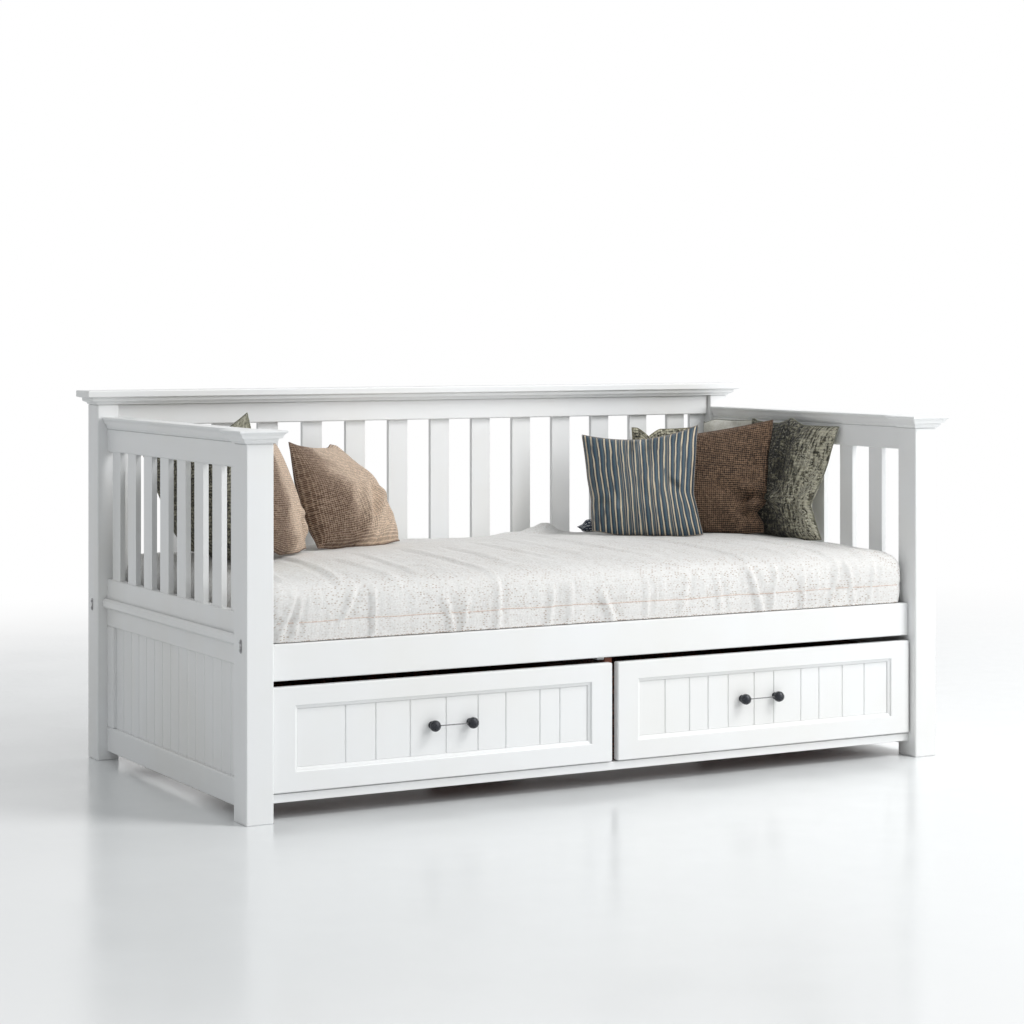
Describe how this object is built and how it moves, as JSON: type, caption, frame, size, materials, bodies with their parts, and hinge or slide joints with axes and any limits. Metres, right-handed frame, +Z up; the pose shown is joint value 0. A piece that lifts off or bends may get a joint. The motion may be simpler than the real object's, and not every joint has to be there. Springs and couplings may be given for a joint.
{
  "type": "storage daybed",
  "caption": "White slatted daybed with a moulded crown, capped arms over beadboard panels, a mattress and loose cushions, and under-bed drawers on wooden runners.",
  "frame": {"origin": "on the floor, in the middle of the outline's length and depth", "axes": "+Z up, +X along the bed to the right as its front is faced, front faces -Y"},
  "size_m": [2.098, 1.126, 0.9968],
  "materials": {
    "white_paint": "satin white paint on wood",
    "brown_wood": "unpainted reddish brown wood",
    "dark_iron": "dark charcoal, soft sheen",
    "steel": "dull grey steel",
    "cream_ticking": "off-white woven cotton with small beige dashes",
    "striped_cloth": "blue, grey and cream stripes",
    "brown_cloth": "brown waffle weave",
    "green_cloth": "crinkled olive gauze with cream flecks",
    "pale_cloth": "pale grey linen"
  },
  "bodies": {
    "frame": {"arm_bead_left": "white_paint", "arm_bead_right": "white_paint", "arm_bottom_rail_left": "white_paint", "arm_bottom_rail_right": "white_paint", "arm_cap_left": "white_paint", "arm_cap_right": "white_paint", "arm_mid_rail_left": "white_paint", "arm_mid_rail_right": "white_paint", "arm_panel_left": "white_paint", "arm_panel_right": "white_paint", "arm_stile_back_left": "white_paint", "arm_stile_back_right": "white_paint", "arm_stile_front_left": "white_paint", "arm_stile_front_right": "white_paint", "arm_top_rail_left": "white_paint", "arm_top_rail_right": "white_paint", "back_bed_rail": "white_paint", "back_stretcher": "white_paint", "back_top_rail": "white_paint", "bolt_cover_back_left": "steel", "bolt_cover_back_right": "steel", "bolt_cover_front_left": "steel", "bolt_cover_front_right": "steel", "crown": "white_paint", "cushion_brown_left": "brown_cloth", "cushion_brown_middle": "brown_cloth", "cushion_brown_right": "brown_cloth", "cushion_green_left": "green_cloth", "cushion_green_right": "green_cloth", "cushion_moss": "green_cloth", "cushion_pale": "pale_cloth", "cushion_striped": "striped_cloth", "divider_block": "white_paint", "drawer_divider": "brown_wood", "front_bed_rail": "white_paint", "front_strip": "white_paint", "mattress": "cream_ticking", "post_back_left": "white_paint", "post_back_right": "white_paint", "post_front_left": "white_paint", "post_front_right": "white_paint", "runner_inner_left": "brown_wood", "runner_inner_right": "brown_wood", "runner_outer_left": "brown_wood", "runner_outer_right": "brown_wood", "slatted_base": "brown_wood"},
    "drawer_left": {"drawer_bottom_left": "brown_wood", "drawer_box_left": "brown_wood", "drawer_front_left": "white_paint", "drawer_panel_left": "white_paint", "handle_left": "dark_iron"},
    "drawer_right": {"drawer_bottom_right": "brown_wood", "drawer_box_right": "brown_wood", "drawer_front_right": "white_paint", "drawer_panel_right": "white_paint", "handle_right": "dark_iron"}
  },
  "joints": [
    {"name": "drawer_left_slide", "type": "slide", "parent": "frame", "child": "drawer_left", "axis": [0, -1, 0], "range_m": [0, 0.42]},
    {"name": "drawer_right_slide", "type": "slide", "parent": "frame", "child": "drawer_right", "axis": [0, -1, 0], "range_m": [0, 0.42]}
  ]
}
